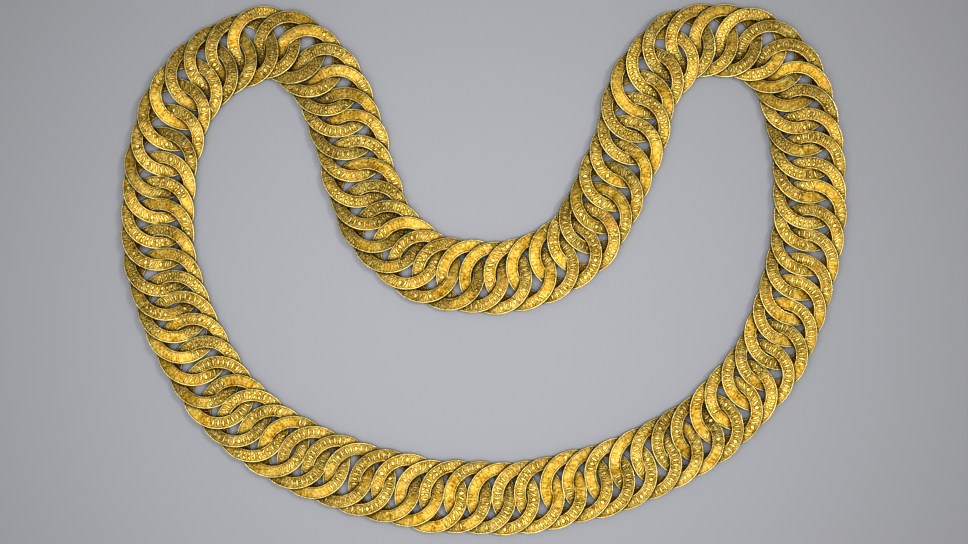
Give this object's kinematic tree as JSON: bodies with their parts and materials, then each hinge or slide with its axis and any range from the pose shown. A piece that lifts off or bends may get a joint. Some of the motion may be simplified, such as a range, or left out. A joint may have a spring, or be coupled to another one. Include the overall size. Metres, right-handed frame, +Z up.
{
  "type": "ceremonial chain",
  "caption": "Long ceremonial neck chain of flat gold rings, each hooked through its neighbours, laid out in a closed heart-like loop.",
  "frame": {"origin": "under the middle of the laid-out loop, on the surface that it rests on", "axes": "+X along the longer side of the layout, +Y towards the two arches at the top of the loop, +Z up off the surface"},
  "size_m": [0.4122, 0.3018, 0.0031],
  "materials": {
    "gold": "high-carat gold, softly polished and worn"
  },
  "bodies": {
    "root": {"chain_right_half": "gold", "chain_left_half": "gold"}
  },
  "joints": []
}
